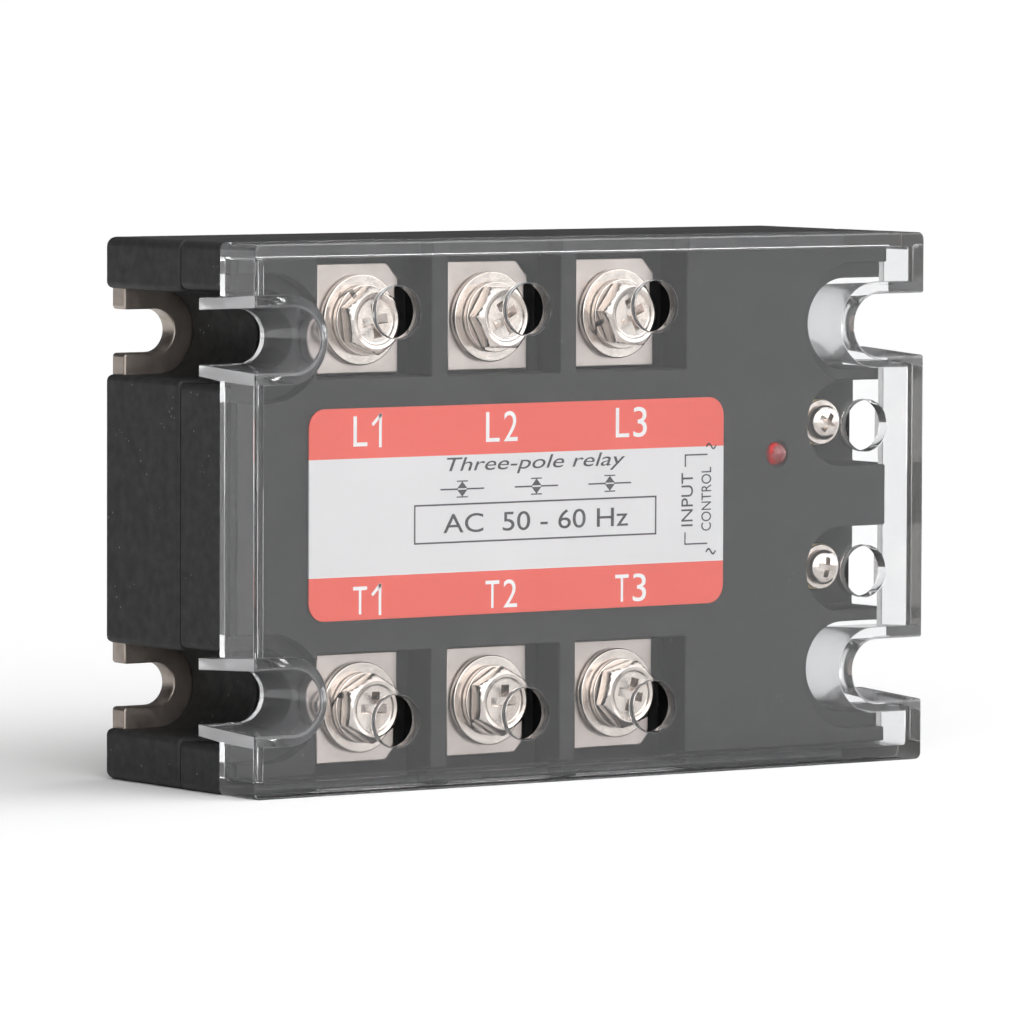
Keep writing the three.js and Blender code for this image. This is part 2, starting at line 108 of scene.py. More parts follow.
def slotted_outline(inset, corner, slot_radius, reach_left, reach_right, mouth):
    """A rectangle with two slots at each end; all in metres, reach measured from the end."""
    left, right = LEFT + inset, RIGHT - inset
    bottom, top = BOTTOM + inset, TOP - inset
    rounding = max(corner - inset, 0.05 * MM)
    radius = slot_radius + inset
    lip = max(mouth - inset, 0.05 * MM)
    points = arc(right - rounding, bottom + rounding, rounding, 3, 4)
    for z in SLOT_HEIGHTS:
        centre = RIGHT - reach_right + slot_radius
        points += arc(right - lip, z - radius - lip, lip, 0, 1, 5)
        points += arc(centre, z, radius, 3, 1, 24)
        points += arc(right - lip, z + radius + lip, lip, 3, 4, 5)
    points += arc(right - rounding, top - rounding, rounding, 0, 1)
    points += arc(left + rounding, top - rounding, rounding, 1, 2)
    for z in reversed(SLOT_HEIGHTS):
        centre = LEFT + reach_left - slot_radius
        points += arc(left + lip, z + radius + lip, lip, 2, 3, 5)
        points += arc(centre, z, radius, 1, -1, 24)
        points += arc(left + lip, z - radius - lip, lip, 1, 2, 5)
    points += arc(left + rounding, bottom + rounding, rounding, 2, 3)
    return points


def rounded_rectangle(left, right, bottom, top, corner, steps=8):
    points = arc(right - corner, bottom + corner, corner, 3, 4, steps)
    points += arc(right - corner, top - corner, corner, 0, 1, steps)
    points += arc(left + corner, top - corner, corner, 1, 2, steps)
    points += arc(left + corner, bottom + corner, corner, 2, 3, steps)
    return points


# %% [markdown]
# A solid is drawn as a stack of rings along the depth and closed at both ends. Holes and
# pockets are cut with a boolean, which gives clean flat walls, and the shading is then split
# only where two faces meet at a real corner.

# %% Make solids from rings
def loft(rings):
    """A bmesh skinned over rings, each (y, [(x, z), ...]) with the same number of points."""
    bm = bmesh.new()
    layers = [[bm.verts.new((x, y, z)) for x, z in outline] for y, outline in rings]
    for near, far in zip(layers, layers[1:]):
        for i in range(len(near)):
            j = (i + 1) % len(near)
            bm.faces.new((near[i], near[j], far[j], far[i]))
    bm.faces.new(layers[0])
    bm.faces.new(layers[-1])
    bmesh.ops.remove_doubles(bm, verts=bm.verts, dist=1e-7)
    bmesh.ops.recalc_face_normals(bm, faces=bm.faces)
    return bm


def block(x0, x1, y0, y1, z0, z1):
    """A box between two X, two Y and two Z."""
    return loft([(y0, [(x0, z0), (x1, z0), (x1, z1), (x0, z1)]),
                 (y1, [(x0, z0), (x1, z0), (x1, z1), (x0, z1)])])


def turned(x, z, profile, steps=48):
    """A solid turned about a Y axis through x and z, from (radius, y) pairs."""
    rings = [(y, arc(x, z, radius, 0, 4 - 4 / steps, steps - 1)) for radius, y in profile]
    return loft(rings)


def parted(bm, places):
    """Divides the faces at some X, so that no flat face ends up with a whole hole inside it."""
    for x in places:
        everything = bm.verts[:] + bm.edges[:] + bm.faces[:]
        bmesh.ops.bisect_plane(bm, geom=everything, plane_co=(x, 0, 0), plane_no=(1, 0, 0))
    return bm


def object_from(bm, name):
    mesh = bpy.data.meshes.new(name)
    bm.to_mesh(mesh)
    bm.free()
    made = bpy.data.objects.new(name, mesh)
    bpy.context.scene.collection.objects.link(made)
    return made


def settle(piece):
    """Makes the result of a piece's modifiers its own mesh."""
    settled = bpy.data.meshes.new_from_object(piece.evaluated_get(bpy.context.evaluated_depsgraph_get()))
    piece.modifiers.clear()
    piece.data = settled


def boolean(body, tools, operation):
    """Joins tools to body, or cuts them away, and returns body."""
    for tool in tools:
        cutter = tool if isinstance(tool, bpy.types.Object) else object_from(tool, "tool")
        step = body.modifiers.new(operation, "BOOLEAN")
        step.operation = operation
        step.solver = "EXACT"
        step.object = cutter
        settle(body)
        bpy.data.objects.remove(cutter)
    return body


FLAT_AREA = 16 * MM * MM  # faces larger than this are flat on every piece


def finish_piece(piece, materials, body, node=None, corner_angle=32):
    """Shades a piece, gives it its materials, ties it to its body and hides its CAD node."""
    mesh = piece.data
    mesh.materials.clear()
    for material in materials:
        mesh.materials.append(material)
    mesh.shade_smooth()
    mesh.set_sharp_from_angle(angle=math.radians(corner_angle))
    normals = [tuple(corner.vector) for corner in mesh.corner_normals]
    for face in mesh.polygons:
        if face.area > FLAT_AREA or max(abs(part) for part in face.normal) > 0.9999:
            for corner in face.loop_indices:
                normals[corner] = tuple(face.normal)
    mesh.normals_split_custom_set(normals)
    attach(piece, body)
    if node:
        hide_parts(node)
    return piece


def soften(piece, width, segments=2, angle=40):
    """Rounds the real corners of a finished solid by a small, even amount."""
    rounding = piece.modifiers.new("rounded corners", "BEVEL")
    rounding.width = width
    rounding.segments = segments
    rounding.limit_method = "ANGLE"
    rounding.angle_limit = math.radians(angle)
    rounding.use_clamp_overlap = False
    rounding.miter_outer = "MITER_ARC"
    settle(piece)

# %% [markdown]
# The black shell is taken to be filled nylon from a lightly sparked steel mould: a deep
# charcoal that is a little uneven, a fine grain that breaks up the highlights, and a scatter of
# pale dust specks. The grain is a bump from two sizes of noise; the specks are the brightest
# tips of a small-scale Voronoi pattern mixed over the base colour.

# %% Helpers for building a material
def new_material(name):
    """An empty node material and its Principled shader."""
    material = bpy.data.materials.new(name)
    material.use_nodes = True
    nodes = material.node_tree.nodes
    nodes.clear()
    output = nodes.new("ShaderNodeOutputMaterial")
    shader = nodes.new("ShaderNodeBsdfPrincipled")
    material.node_tree.links.new(shader.outputs["BSDF"], output.inputs["Surface"])
    return material, shader


def add_node(material, kind, inputs=None, **settings):
    """Adds a node, sets its plain values, and links any socket given as an input."""
    node = material.node_tree.nodes.new(kind)
    for key, value in settings.items():
        setattr(node, key, value)
    for key, value in (inputs or {}).items():
        if isinstance(value, bpy.types.NodeSocket):
            material.node_tree.links.new(value, node.inputs[key])
        else:
            node.inputs[key].default_value = value
    return node


def set_shader(material, shader, **values):
    """Sets or links the shader's sockets; an underscore in a name stands for a space."""
    for key, value in values.items():
        socket = shader.inputs[key.replace("_", " ")]
        if isinstance(value, bpy.types.NodeSocket):
            material.node_tree.links.new(value, socket)
        else:
            socket.default_value = value


def noise(material, scale, detail=3.0, roughness=0.55, stretch=(1, 1, 1)):
    """Noise that is fixed to the object; scale counts features per metre."""
    place = add_node(material, "ShaderNodeTexCoord")
    mapping = add_node(material, "ShaderNodeMapping", {"Vector": place.outputs["Object"], "Scale": stretch})
    texture = add_node(material, "ShaderNodeTexNoise", {
        "Vector": mapping.outputs["Vector"], "Scale": scale, "Detail": detail, "Roughness": roughness,
    })
    return texture.outputs["Fac"]


def ramp(material, value, stops, interpolation="LINEAR"):
    """Colours a value; stops are (position, colour)."""
    node = add_node(material, "ShaderNodeValToRGB", {"Fac": value})
    node.color_ramp.interpolation = interpolation
    while len(node.color_ramp.elements) < len(stops):
        node.color_ramp.elements.new(0.5)
    for element, (position, colour) in zip(node.color_ramp.elements, stops):
        element.position = position
        element.color = (*colour, 1)
    return node.outputs["Color"]


def bump(material, height, strength, distance):
    inputs = {"Height": height, "Strength": strength, "Distance": distance}
    return add_node(material, "ShaderNodeBump", inputs).outputs["Normal"]


def grey(value):
    return (value, value, value)


def mixed(material, factor, first, second):
    """One colour over another; each may be a socket or a plain colour."""
    plain = [c if isinstance(c, bpy.types.NodeSocket) else (*c, 1) for c in (first, second)]
    node = add_node(material, "ShaderNodeMixRGB", {"Fac": factor, "Color1": plain[0], "Color2": plain[1]})
    return node.outputs["Color"]


def compare(material, operation, first, second):
    """A plain calculation on two values, such as a comparison or a product."""
    return add_node(material, "ShaderNodeMath", {0: first, 1: second}, operation=operation).outputs[0]


# %% Black moulded plastic
def make_black_plastic(name, shade, specular):
    material, shader = new_material(name)
    cloud = noise(material, 700, detail=5)
    colour = ramp(material, cloud, [(0.3, grey(shade * 0.65)), (0.7, grey(shade * 1.3))])
    place = add_node(material, "ShaderNodeTexCoord")
    dust = add_node(material, "ShaderNodeTexVoronoi", {
        "Vector": place.outputs["Object"], "Scale": 900.0, "Randomness": 1.0,
    })
    few = noise(material, 260, detail=1)
    near = compare(material, "LESS_THAN", dust.outputs["Distance"], 0.13)
    some = compare(material, "GREATER_THAN", few, 0.61)
    speck = compare(material, "MULTIPLY", near, some)
    specked = mixed(material, speck, colour, grey(0.13))
    grain = noise(material, 5200, detail=2)
    rough = ramp(material, noise(material, 400), [(0.3, grey(0.58)), (0.7, grey(0.70))])
    set_shader(material, shader, Base_Color=specked, Roughness=rough, Specular_IOR_Level=specular,
               Normal=bump(material, grain, 0.06, 0.00006))
    return material


black_plastic = make_black_plastic("black_plastic", 0.022, 0.42)
# A darker, less glossy copy of the black plastic is painted shade for the pockets and channels, where
# little light gets in.
painted_shade_recess = make_black_plastic("painted_shade_recess", 0.009, 0.2)
print("made", black_plastic.name, painted_shade_recess.name)

# %% [markdown]
# The terminal plates, washers and screws look nickel plated. Nickel is a little warmer than
# chrome, and the plating on stamped and tumbled parts is never a clean mirror: it is faintly
# cloudy and carries fine pits. A metal shader with a warm grey, uneven roughness and a very
# shallow bump gives that. The base plate is the same idea, browner and rougher.

# %% Metals
def make_metal(name, dark, light, rough_low, rough_high, pit_scale, pit_strength, stretch=(1, 1, 1)):
    material, shader = new_material(name)
    cloud = noise(material, 220, detail=5, roughness=0.65, stretch=stretch)
    colour = ramp(material, cloud, [(0.3, dark), (0.7, light)])
    smudges = noise(material, 1300, detail=4)
    rough = ramp(material, smudges, [(0.35, grey(rough_low)), (0.7, grey(rough_high))])
    pits = noise(material, pit_scale, detail=3, roughness=0.6, stretch=stretch)
    set_shader(material, shader, Base_Color=colour, Metallic=1.0, Roughness=rough,
               Normal=bump(material, pits, pit_strength, 0.00004))
    return material


nickel_plate = make_metal("nickel_plate", (0.40, 0.355, 0.33), (0.51, 0.455, 0.43), 0.28, 0.40, 2600, 0.2)
nickel_steel = make_metal("nickel_steel", (0.54, 0.48, 0.44), (0.72, 0.66, 0.61), 0.13, 0.25, 3200, 0.12)
base_metal = make_metal("base_metal", (0.35, 0.30, 0.265), (0.47, 0.415, 0.37), 0.32, 0.5, 1800, 0.3,
                        stretch=(1, 1, 0.3))
brass = make_metal("brass", (0.56, 0.40, 0.20), (0.72, 0.55, 0.30), 0.25, 0.4, 2600, 0.15)
print("made", [m.name for m in (nickel_plate, nickel_steel, base_metal, brass)])

# %% [markdown]
# The cover is a clear plastic; which one is a guess. It is modelled as a solid with a wall of
# nearly 2 mm, so a transmission shader makes the bright and dark lines where one looks along a
# wall. Its refraction, 1.47, is a little lower than that of common clear plastics, which is
# about 1.49 to 1.59. A wash of faint moulding ripples keeps the reflections from being perfect.

# %% Clear and coloured plastics
def make_clear_plastic(name, tint, roughness, clearness):
    material, shader = new_material(name)
    paler = tuple(part + 0.01 for part in tint)
    colour = ramp(material, noise(material, 120, detail=3), [(0.3, tint), (0.7, paler)])
    set_shader(material, shader, Base_Color=colour, Roughness=roughness, IOR=1.47,
               Transmission_Weight=clearness,
               Normal=bump(material, noise(material, 160, detail=2), 0.03, 0.0004))
    return material


def make_red_lens():
    material, shader = new_material("red_lens")
    swirl = noise(material, 900, detail=2)
    colour = ramp(material, swirl, [(0.3, (0.62, 0.001, 0.002)), (0.7, (0.80, 0.003, 0.005))])
    set_shader(material, shader, Base_Color=colour, Roughness=0.08, IOR=1.5, Transmission_Weight=0.8,
               Emission_Color=(0.9, 0.01, 0.01, 1), Emission_Strength=0.03,
               Coat_Weight=0.5, Coat_Roughness=0.03)
    return material


clear_plastic = make_clear_plastic("clear_plastic", (0.945, 0.95, 0.955), 0.025, 1.0)
hazy_plastic = make_clear_plastic("hazy_plastic", (0.90, 0.90, 0.915), 0.07, 0.91)
frosted_plastic = make_clear_plastic("frosted_plastic", (0.88, 0.88, 0.89), 0.25, 0.62)
# Painted shade: a dark, dull copy of the clear plastic for the right-hand end of the skirt, where the clear
# edge only looks dark from shade and reflection.
painted_shade_skirt_end = make_clear_plastic("painted_shade_skirt_end", (0.12, 0.115, 0.11), 0.4, 0.35)
red_lens = make_red_lens()
print("made", clear_plastic.name, red_lens.name)


# %% Printed film, board, ceramic and moulded parts
def make_mottled(name, dark, light, scale, roughness, strength, grain_scale=3000):
    """A non-metal with gentle colour variation and a fine surface grain."""
    material, shader = new_material(name)
    colour = ramp(material, noise(material, scale, detail=4), [(0.3, dark), (0.7, light)])
    set_shader(material, shader, Base_Color=colour, Roughness=roughness,
               Normal=bump(material, noise(material, grain_scale), strength, 0.00003))
    return material


film_white = make_mottled("film_white", (0.73, 0.725, 0.73), (0.77, 0.765, 0.77), 60, 0.42, 0.05)
film_coral = make_mottled("film_coral", (0.83, 0.095, 0.062), (0.87, 0.11, 0.075), 60, 0.42, 0.05)
ink_white = make_mottled("ink_white", (0.86, 0.86, 0.86), (0.92, 0.92, 0.92), 200, 0.5, 0.05)
ink_black = make_mottled("ink_black", (0.028, 0.028, 0.03), (0.05, 0.05, 0.052), 300, 0.5, 0.05)
board_green = make_mottled("board_green", (0.03, 0.13, 0.06), (0.05, 0.20, 0.09), 300, 0.35, 0.2, 900)
ceramic_white = make_mottled("ceramic_white", (0.74, 0.72, 0.68), (0.84, 0.82, 0.78), 500, 0.7, 0.3)
moulded_chip = make_mottled("moulded_chip", (0.022, 0.022, 0.024), (0.04, 0.04, 0.043), 700, 0.55, 0.4)
capacitor_yellow = make_mottled("capacitor_yellow", (0.60, 0.40, 0.06), (0.74, 0.52, 0.10), 300, 0.3, 0.1)
print("materials so far:", len(bpy.data.materials))

# %% [markdown]
# The base plate is a 3 mm metal plate with four open slots. Its front edges are slightly
# rounded by tumbling and catch a bright line of light, so the rounding is built into the rings.

# %% Base plate
PLATE_INSET = plate_low.x - LEFT


def plate_ring(extra):
    return slotted_outline(PLATE_INSET + extra, PLATE_INSET + 0.9 * MM, 2.9 * MM - PLATE_INSET,
                           9.1 * MM - PLATE_INSET, 9.1 * MM - PLATE_INSET, PLATE_INSET + 0.5 * MM)


def rim_rings(ring, front, back, radius, steps=3):
    """Rings for a solid between two planes whose rims are rounded by a radius."""
    angles = [math.pi / 2 * step / steps for step in range(steps + 1)]
    curve = [(radius * (1 - math.sin(angle)), radius * (1 - math.cos(angle))) for angle in angles]
    near = [(front + depth, ring(inset)) for depth, inset in reversed(curve)]
    far = [(back - depth, ring(inset)) for depth, inset in curve]
    return near + far


plate_rings = rim_rings(plate_ring, plate_low.y, plate_high.y, 0.22 * MM)
base_plate = object_from(loft(plate_rings), "base_plate_fine")
finish_piece(base_plate, [base_metal], "relay", "base_plate")
print("base plate faces:", len(base_plate.data.polygons))

# %% [markdown]
# The rear shell is a deep frame around the works. Its outer rim at the back is well rounded,
# and where it meets the front shell both halves are rounded too, so that a fine dark groove
# runs all the way round the relay.

# %% Rear shell
REAR_SLOT = (5.7 * MM, 12 * MM, 12 * MM)
WALL = 2.3 * MM


def rear_ring(inset):
    return slotted_outline(inset, 1.3 * MM, *REAR_SLOT, 0.9 * MM)


def shell_rings(ring, front, back, front_radius, back_radius, steps=4):
    """Like rim_rings, with its own radius at each end."""
    near = rim_rings(ring, front, back, front_radius, steps)[:steps + 1]
    far = rim_rings(ring, front, back, back_radius, steps)[steps + 1:]
    return near + far


def rear_cavity(inset):
    radius, left, right = REAR_SLOT
    return slotted_outline(WALL + inset, WALL + 1 * MM, radius + 2 * MM - WALL, left + 2 * MM - WALL,
                           right + 2 * MM - WALL, WALL + 0.3 * MM)


ledge = plate_low.y - 0.3 * MM
rear_shell = object_from(loft(shell_rings(rear_ring, rear_low.y, BACK, 0.45 * MM, 1.0 * MM)), "rear_shell")
inside = loft([(rear_low.y - MM, rear_cavity(0)), (ledge + MM, rear_cavity(0))])
seat_outline = rounded_rectangle(LEFT + MM, RIGHT - MM, BOTTOM + MM, TOP - MM, 1.2 * MM)
seat = loft([(ledge, seat_outline), (BACK + MM, seat_outline)])
boolean(rear_shell, [inside, seat], "DIFFERENCE")
finish_piece(rear_shell, [black_plastic], "relay", "rear_housing")
print("rear shell faces:", len(rear_shell.data.polygons))

# %% [markdown]
# The front shell steps in at its flange so that the cover can sit around it. Six square
# pockets hold the power terminals and run out through the long sides for the wires, and two
# round-ended channels hold the control screws. It is made as two solids joined together, with
# the pockets, channels and screw wells cut out and every corner softened.

# %% Places of the terminals
def centre_of(node):
    low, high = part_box(node)
    return (low + high) / 2


ROWS = {"l": 1, "t": -1}
POWER = {f"{row}{i}": (centre_of(f"power_screw_{row}{i}"), side)
         for row, side in ROWS.items() for i in (1, 2, 3)}
CONTROL = {i: centre_of(f"control_screw_{i}") for i in (1, 2)}
for tag, (centre, side) in POWER.items():
    centre.x, centre.z = centre_of(f"flat_washer_{tag}").x, centre_of(f"flat_washer_{tag}").z
for i, centre in CONTROL.items():
    centre.x, centre.z = centre_of(f"control_washer_{i}").x, centre_of(f"control_washer_{i}").z
print("power terminals:", list(POWER), "control terminals:", list(CONTROL))


# %% Front shell
FRONT_SLOT = (6.15 * MM, 12.25 * MM, 13.75 * MM)
WORKS_HALF = 14.7 * MM
POCKET_HALF = 9.1 * MM
CHANNEL_RADIUS = 5.75 * MM
SLEEVE = 2.2 * MM
FLANGE = behind(8.6)
POCKET_FLOOR = behind(11.85)


def rod(x, z, radius, front, back, steps=48):
    return turned(x, z, [(radius, front), (radius, back)], steps)


def flange_ring(inset):
    return slotted_outline(inset, 1.1 * MM, *FRONT_SLOT, 0.9 * MM)


def pocket_cuts(centre, side):
    """The pocket, the hexagon well and the slot for the leg of one power terminal."""
    x, z = centre.x, centre.z

    def span(near, far):
        return sorted((MIDDLE + side * near * MM, MIDDLE + side * far * MM))

    hexagon = turned(x, z, [(4.97 * MM, behind(10.8)), (4.97 * MM, behind(15.85))], 6)
    return [
        parted(block(x - POCKET_HALF, x + POCKET_HALF, FACE - MM, POCKET_FLOOR, *span(18, 37)), [x]),
        hexagon,
        rod(x, z, 2.9 * MM, behind(15.5), PARTING + MM),
        block(x - 3.3 * MM, x + 3.3 * MM, behind(10.8), PARTING + MM, *span(18.1, 19.9)),
    ]


def channel_cuts(centre):
    """The channel of one control terminal, with the post under its screw left standing."""
    x, z = centre.x, centre.z
    radius, floor = CHANNEL_RADIUS, behind(16.4)
    end = RIGHT + MM
    leg = x - 2.6 * MM
    outline = arc(x, z, radius, 3, 1, 24) + [(end, z + radius), (end, z - radius)]
    channel = object_from(parted(loft([(FACE - MM, outline), (floor, outline)]), [x, leg]), "channel")
    boolean(channel, [rod(x, z, 3.4 * MM, behind(12.7), floor + MM)], "DIFFERENCE")
    return [
        channel,
        rod(x, z, 1.85 * MM, FACE, PARTING + MM),
        block(leg - 0.8 * MM, leg + 0.8 * MM, behind(12.4), PARTING + MM, z - 1.3 * MM, z + 1.3 * MM),
    ]


lamp = centre_of("status_led")
COLUMNS = [POWER[tag][0].x for tag in ("l1", "l2", "l3")] + [CONTROL[1].x, lamp.x]
flange = parted(loft(shell_rings(flange_ring, FLANGE, PARTING, 0.3 * MM, 0.45 * MM)), COLUMNS)
front_shell = object_from(flange, "front_shell")
raised = parted(loft([(FACE, flange_ring(SLEEVE)), (FLANGE + MM, flange_ring(SLEEVE))]), COLUMNS)
boolean(front_shell, [raised], "UNION")
works = block(LEFT + 2.6 * MM, LEFT + 91.15 * MM, FACE + WALL, PARTING + MM,
              MIDDLE - WORKS_HALF, MIDDLE + WORKS_HALF)
cuts = [works, rod(lamp.x, lamp.z, 1.8 * MM, FACE - MM, FACE + WALL + MM)]
for centre, side in POWER.values():
    cuts += pocket_cuts(centre, side)
for centre in CONTROL.values():
    cuts += channel_cuts(centre)
boolean(front_shell, cuts, "DIFFERENCE")
soften(front_shell, 0.22 * MM)
finish_piece(front_shell, [black_plastic, painted_shade_recess], "relay", "front_housing")


def in_recess(face):
    """True inside the pockets and channels, where little light gets in; these faces take the darker plastic
    as painted shade.
    """
    x, y, z = face.center
    across = abs(z - MIDDLE)
    if y < FACE + 0.5 * MM or across > 33.4 * MM:
        return False
    from_pocket = min(abs(x - centre.x) for centre, side in POWER.values())
    from_channel = min(abs(z - centre.z) for centre in CONTROL.values())
    in_pocket = across > 17.9 * MM and from_pocket < POCKET_HALF + 0.1 * MM
    channel_length = CONTROL[1].x - 6 * MM < x < RIGHT - 2.3 * MM
    return in_pocket or (channel_length and from_channel < CHANNEL_RADIUS + 0.15 * MM)


# Pocket and channel faces take the darker plastic, which is painted shade.
recess = [int(in_recess(face)) for face in front_shell.data.polygons]
front_shell.data.polygons.foreach_set("material_index", recess)
print("front shell faces:", len(front_shell.data.polygons))

# %% [markdown]
# The clear cover is the piece the eye meets first. It is a flat plate with a skirt, a round hole
# over every screw, and a U-shaped wall around each mounting slot that tapers towards the back
# like every moulded wall does. Because it refracts light, the mesh must be one closed solid
# with truly flat faces and smooth arcs. Each face takes one of four finishes by where it is.
# The plate is polished. The haze of the walls, the dull mouths of the slots and the dark
# right-hand end of the skirt are chosen and not worked out from the plastic: they stand
# in for the grey bands and the dark edge line that the real cover shows.
# The dark right-hand end of the skirt is painted shade: a dark plastic on a clear edge that is only shaded.

# %% Clear cover
COVER_WALL = 1.9 * MM
COVER_BACK = cover_high.y
SKIRT = behind(8.5)
SLOT_FRONT, SLOT_BACK = 4.25 * MM, 3.55 * MM


def slot_bar(end, z, reach, sections, overrun=0):
    """A U-shaped bar from sections of (y, radius); end is -1 for left and 1 for right."""
    edge = RIGHT if end > 0 else LEFT
    centre = edge - end * (reach - sections[0][1])
    mouth = edge + end * overrun
    rings = []
    for y, radius in sections:
        start, stop = (3, 1) if end > 0 else (-1, 1)
        outline = [(mouth, z - radius)] + arc(centre, z, radius, start, stop, 32) + [(mouth, z + radius)]
        rings.append((y, outline))
    return loft(rings)


def cover_ring(inset):
    corner = max(0.9 * MM - inset, 0.1 * MM)
    return rounded_rectangle(LEFT + inset, RIGHT - inset, BOTTOM + inset, TOP - inset, corner)


def taper(y, front=SLOT_FRONT, back=SLOT_BACK):
    share = (y - cover_low.y) / (COVER_BACK - cover_low.y)
    return front + (back - front) * share


HOLE_COLUMNS = COLUMNS[:4]
shell = loft(shell_rings(cover_ring, cover_low.y, SKIRT, 0.3 * MM, 0.12 * MM))
clear_cover = object_from(parted(shell, HOLE_COLUMNS), "clear_cover_fine")
hollow = rounded_rectangle(LEFT + COVER_WALL, RIGHT - COVER_WALL,
                           BOTTOM + COVER_WALL, TOP - COVER_WALL, 0.5 * MM)
inside = loft([(behind(1.8), hollow), (SKIRT + MM, hollow)])
boolean(clear_cover, [parted(inside, HOLE_COLUMNS)], "DIFFERENCE")
walls, slots = [], []
AROUND = 1.6 * MM
SHOULDER = cover_low.y + 0.3 * MM
for end, reach in ((-1, 10.3 * MM), (1, 11.8 * MM)):
    for z in SLOT_HEIGHTS:
        outer = [(SHOULDER, taper(SHOULDER) + AROUND), (COVER_BACK, SLOT_BACK + AROUND)]
        walls.append(slot_bar(end, z, reach + AROUND, outer))
        flare = [(-1.0, 0.42), (0.0, 0.42), (0.06, 0.26), (0.16, 0.13), (0.42, 0.0)]
        inner = [(behind(depth), taper(behind(depth)) + extra * MM) for depth, extra in flare]
        inner.append((COVER_BACK + MM, taper(COVER_BACK + MM)))
        slots.append(slot_bar(end, z, reach + 0.42 * MM, inner, MM))
holes = [(centre.x, MIDDLE + side * 26.75 * MM) for centre, side in POWER.values()]
holes += [(centre.x, centre.z) for centre in CONTROL.values()]
bores = [rod(x, z, 3.45 * MM, cover_low.y - MM, behind(3), 64) for x, z in holes]
boolean(clear_cover, walls, "UNION")
boolean(clear_cover, slots + bores, "DIFFERENCE")
soften(clear_cover, 0.12 * MM, 2, 50)
COVER_FINISHES = [clear_plastic, hazy_plastic, frosted_plastic, painted_shade_skirt_end]
finish_piece(clear_cover, COVER_FINISHES, "cover", "clear_cover")


def cover_finish(face):
    """Which finish a face has, as its place in COVER_FINISHES."""
    x, y, z = face.center
    in_slot = min(abs(z - height) for height in SLOT_HEIGHTS) < SLOT_FRONT + AROUND + 0.05 * MM
    near_end = min(x - LEFT, RIGHT - x)
    near_hole = min(math.hypot(x - a, z - b) for a, b in holes) < 3.6 * MM
    long_wall = abs(face.normal.z) > 0.9 and abs(abs(z - MIDDLE) - (TOP - MIDDLE - COVER_WALL)) < 0.1 * MM
    if abs(face.normal.x) > 0.9 and in_slot and near_end < 0.1 * MM:
        return 2
    rim = face.normal.y > 0.5 and y > SKIRT - 0.3 * MM
    # The rim at the right-hand end takes the dark plastic, which is painted shade.
    if rim and RIGHT - x < COVER_WALL + 0.1 * MM and not in_slot:
        return 3
    slot_wall = in_slot and near_end < 13.5 * MM
    return int(rim or abs(face.normal.y) < 0.9 and (slot_wall or near_hole or long_wall))


finishes = [cover_finish(face) for face in clear_cover.data.polygons]
clear_cover.data.polygons.foreach_set("material_index", finishes)
print("cover faces by finish:", [finishes.count(kind) for kind in range(4)])
print("cover faces:", len(clear_cover.data.polygons))

# %% [markdown]
# Each power terminal is a stack: a stamped plate with one clipped corner, a flat washer, a split
# spring washer and a hexagon screw with a cross recess. The six stacks are alike, so each piece
# has one function that builds it around a screw axis.

# %% Terminal plates
def terminal_plate(centre, side, low, high):
    x, z = centre.x, centre.z
    half, thick = 6.4 * MM, 1.2 * MM
    inner, outer, notch = 18.4 * MM, 32.8 * MM, 1.9 * MM

    def row(distance):
        return MIDDLE + side * distance

    def ring(inset):
        near, far = inner + inset, outer - inset
        left, right = x - half + inset, x + half - inset
        bite = [(right - notch + 0.9 * MM * share - 0.15 * MM, row(far - 0.35 * notch * share ** 2))
                for share in (0, 0.25, 0.5, 0.75)]
        drop = [(right, row(far - notch - 0.2 * MM * k)) for k in range(2)]
        tip = [(right - 0.45 * MM, row(far - notch + 0.45 * MM))]
        return [(left, row(near)), (left, row(far))] + bite + tip + drop + [(right, row(near))]

    plate = object_from(loft(rim_rings(ring, low.y, low.y + thick, 0.16 * MM)), f"terminal_{side}")
    leg_span = sorted((row(inner), row(inner + thick)))
    leg = block(x - 3 * MM, x + 3 * MM, low.y + thick / 2, high.y, *leg_span)
    boolean(plate, [leg], "UNION")
    return boolean(plate, [rod(x, z, 2.9 * MM, low.y - MM, low.y + 3 * MM)], "DIFFERENCE")


for tag, (centre, side) in POWER.items():
    plate = terminal_plate(centre, side, *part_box(f"terminal_plate_{tag}"))
    plate.name = f"terminal_plate_{tag}_fine"
    finish_piece(plate, [nickel_plate], "relay", f"terminal_plate_{tag}")
print("terminal plates: 6")


# %% Flat washers
def ring_body(x, z, section, steps=64):
    """A closed (radius, y) section turned about the Y axis through x and z."""
    bm = bmesh.new()
    turns = [2 * math.pi * step / steps for step in range(steps)]
    loops = [[bm.verts.new((x + r * math.cos(turn), y, z + r * math.sin(turn))) for r, y in section]
             for turn in turns]
    for this, after in zip(loops, loops[1:] + loops[:1]):
        for i in range(len(section)):
            j = (i + 1) % len(section)
            bm.faces.new((this[i], this[j], after[j], after[i]))
    bmesh.ops.recalc_face_normals(bm, faces=bm.faces)
    return bm


def rounded_section(inner, outer, front, back, radius):
    """A rectangle in (radius, y) with rounded corners."""
    low, high = (inner + radius, front + radius), (outer - radius, back - radius)
    corners = [((high[0], low[1]), 3), ((high[0], high[1]), 0),
               ((low[0], high[1]), 1), ((low[0], low[1]), 2)]
    return [point for (r, y), quarter in corners for point in arc(r, y, radius, quarter, quarter + 1, 3)]


for tag, (centre, side) in POWER.items():
    low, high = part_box(f"flat_washer_{tag}")
    section = rounded_section(2.8 * MM, 6 * MM, low.y, high.y, 0.17 * MM)
    washer = object_from(ring_body(centre.x, centre.z, section), f"flat_washer_{tag}_fine")
    finish_piece(washer, [nickel_steel], f"washers_{tag}", f"flat_washer_{tag}")
print("flat washers: 6")


